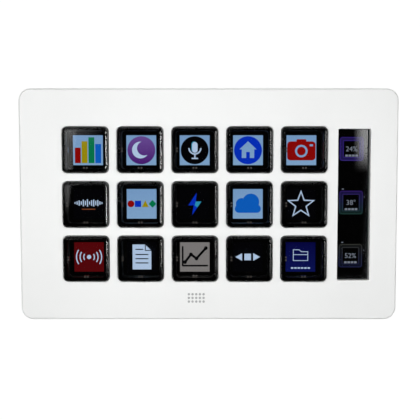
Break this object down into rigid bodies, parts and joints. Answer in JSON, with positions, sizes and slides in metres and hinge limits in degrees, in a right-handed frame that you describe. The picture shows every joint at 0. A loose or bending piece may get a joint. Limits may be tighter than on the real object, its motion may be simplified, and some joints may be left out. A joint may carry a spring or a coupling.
{
  "type": "display key pad",
  "caption": "Low desk key pad with clear square push keys over one screen, a tall display strip at the right, a USB-C socket and a fold-out stand in the back.",
  "frame": {"origin": "middle of the case's outline, on the surface that the rubber feet stand on", "axes": "+X along the length towards the display strip, +Y towards the edge with the socket, +Z out of the key face"},
  "size_m": [0.173, 0.106, 0.0246],
  "materials": {
    "shell_white": "moulded ABS, fine satin",
    "back_white": "moulded ABS, fine spark texture",
    "cap_clear": "clear polished acrylic",
    "skirt_black": "black moulded polycarbonate",
    "strip_pane": "clear polished acrylic pane",
    "grid_black": "black moulded ABS",
    "dome_rubber": "grey silicone rubber",
    "board_green": "green solder mask on glass-fibre board",
    "gasket_foam": "black foam tape",
    "screen_glass": "dark display glass",
    "light_film": "white light guide",
    "carrier_steel": "zinc-plated sheet steel",
    "screw_steel": "nickel-plated steel",
    "chip_black": "black epoxy",
    "connector_cream": "cream nylon",
    "ribbon_amber": "amber polyimide film",
    "socket_steel": "nickel-plated deep-drawn steel",
    "socket_black": "black glass-filled nylon",
    "pin_steel": "ground steel",
    "foot_rubber": "dark grey rubber"
  },
  "bodies": {
    "housing": {"front_case": "shell_white", "strip_window": "strip_pane", "key_grid": "grid_black", "dome_mat": "dome_rubber", "contact_board": "board_green", "screen_gasket": "gasket_foam", "lcd_glass": "screen_glass", "lcd_backlight": "light_film", "screen_carrier": "carrier_steel", "carrier_screws": "screw_steel", "main_board": "board_green", "board_chips": "chip_black", "ribbon_connectors": "connector_cream", "screen_ribbon": "ribbon_amber", "key_ribbon": "ribbon_amber", "usb_socket_shell": "socket_steel", "usb_socket_tongue": "socket_black", "board_screws": "screw_steel", "back_cover": "back_white", "case_screws": "screw_steel", "rubber_feet": "foot_rubber", "stand_pins": "pin_steel"},
    "stand": {"stand_flap": "back_white", "stand_pad": "foot_rubber"},
    "key_r1c1": {"key_r1c1_cap": "cap_clear", "key_r1c1_skirt": "skirt_black"},
    "key_r1c2": {"key_r1c2_cap": "cap_clear", "key_r1c2_skirt": "skirt_black"},
    "key_r1c3": {"key_r1c3_cap": "cap_clear", "key_r1c3_skirt": "skirt_black"},
    "key_r1c4": {"key_r1c4_cap": "cap_clear", "key_r1c4_skirt": "skirt_black"},
    "key_r1c5": {"key_r1c5_cap": "cap_clear", "key_r1c5_skirt": "skirt_black"},
    "key_r2c1": {"key_r2c1_cap": "cap_clear", "key_r2c1_skirt": "skirt_black"},
    "key_r2c2": {"key_r2c2_cap": "cap_clear", "key_r2c2_skirt": "skirt_black"},
    "key_r2c3": {"key_r2c3_cap": "cap_clear", "key_r2c3_skirt": "skirt_black"},
    "key_r2c4": {"key_r2c4_cap": "cap_clear", "key_r2c4_skirt": "skirt_black"},
    "key_r2c5": {"key_r2c5_cap": "cap_clear", "key_r2c5_skirt": "skirt_black"},
    "key_r3c1": {"key_r3c1_cap": "cap_clear", "key_r3c1_skirt": "skirt_black"},
    "key_r3c2": {"key_r3c2_cap": "cap_clear", "key_r3c2_skirt": "skirt_black"},
    "key_r3c3": {"key_r3c3_cap": "cap_clear", "key_r3c3_skirt": "skirt_black"},
    "key_r3c4": {"key_r3c4_cap": "cap_clear", "key_r3c4_skirt": "skirt_black"},
    "key_r3c5": {"key_r3c5_cap": "cap_clear", "key_r3c5_skirt": "skirt_black"}
  },
  "joints": [
    {"name": "stand_hinge", "type": "hinge", "parent": "housing", "child": "stand", "pos_m": [0, 0.0018, 0.0035], "axis": [1, 0, 0], "range_deg": [0, 62]},
    {"name": "key_r1c1_press", "type": "slide", "parent": "housing", "child": "key_r1c1", "axis": [0, 0, -1], "range_m": [0, 0.0012], "stiffness_N_per_m": 500, "springref_m": -0.0003, "deforming": ["dome_mat"]},
    {"name": "key_r1c2_press", "type": "slide", "parent": "housing", "child": "key_r1c2", "axis": [0, 0, -1], "range_m": [0, 0.0012], "stiffness_N_per_m": 500, "springref_m": -0.0003, "deforming": ["dome_mat"]},
    {"name": "key_r1c3_press", "type": "slide", "parent": "housing", "child": "key_r1c3", "axis": [0, 0, -1], "range_m": [0, 0.0012], "stiffness_N_per_m": 500, "springref_m": -0.0003, "deforming": ["dome_mat"]},
    {"name": "key_r1c4_press", "type": "slide", "parent": "housing", "child": "key_r1c4", "axis": [0, 0, -1], "range_m": [0, 0.0012], "stiffness_N_per_m": 500, "springref_m": -0.0003, "deforming": ["dome_mat"]},
    {"name": "key_r1c5_press", "type": "slide", "parent": "housing", "child": "key_r1c5", "axis": [0, 0, -1], "range_m": [0, 0.0012], "stiffness_N_per_m": 500, "springref_m": -0.0003, "deforming": ["dome_mat"]},
    {"name": "key_r2c1_press", "type": "slide", "parent": "housing", "child": "key_r2c1", "axis": [0, 0, -1], "range_m": [0, 0.0012], "stiffness_N_per_m": 500, "springref_m": -0.0003, "deforming": ["dome_mat"]},
    {"name": "key_r2c2_press", "type": "slide", "parent": "housing", "child": "key_r2c2", "axis": [0, 0, -1], "range_m": [0, 0.0012], "stiffness_N_per_m": 500, "springref_m": -0.0003, "deforming": ["dome_mat"]},
    {"name": "key_r2c3_press", "type": "slide", "parent": "housing", "child": "key_r2c3", "axis": [0, 0, -1], "range_m": [0, 0.0012], "stiffness_N_per_m": 500, "springref_m": -0.0003, "deforming": ["dome_mat"]},
    {"name": "key_r2c4_press", "type": "slide", "parent": "housing", "child": "key_r2c4", "axis": [0, 0, -1], "range_m": [0, 0.0012], "stiffness_N_per_m": 500, "springref_m": -0.0003, "deforming": ["dome_mat"]},
    {"name": "key_r2c5_press", "type": "slide", "parent": "housing", "child": "key_r2c5", "axis": [0, 0, -1], "range_m": [0, 0.0012], "stiffness_N_per_m": 500, "springref_m": -0.0003, "deforming": ["dome_mat"]},
    {"name": "key_r3c1_press", "type": "slide", "parent": "housing", "child": "key_r3c1", "axis": [0, 0, -1], "range_m": [0, 0.0012], "stiffness_N_per_m": 500, "springref_m": -0.0003, "deforming": ["dome_mat"]},
    {"name": "key_r3c2_press", "type": "slide", "parent": "housing", "child": "key_r3c2", "axis": [0, 0, -1], "range_m": [0, 0.0012], "stiffness_N_per_m": 500, "springref_m": -0.0003, "deforming": ["dome_mat"]},
    {"name": "key_r3c3_press", "type": "slide", "parent": "housing", "child": "key_r3c3", "axis": [0, 0, -1], "range_m": [0, 0.0012], "stiffness_N_per_m": 500, "springref_m": -0.0003, "deforming": ["dome_mat"]},
    {"name": "key_r3c4_press", "type": "slide", "parent": "housing", "child": "key_r3c4", "axis": [0, 0, -1], "range_m": [0, 0.0012], "stiffness_N_per_m": 500, "springref_m": -0.0003, "deforming": ["dome_mat"]},
    {"name": "key_r3c5_press", "type": "slide", "parent": "housing", "child": "key_r3c5", "axis": [0, 0, -1], "range_m": [0, 0.0012], "stiffness_N_per_m": 500, "springref_m": -0.0003, "deforming": ["dome_mat"]}
  ]
}
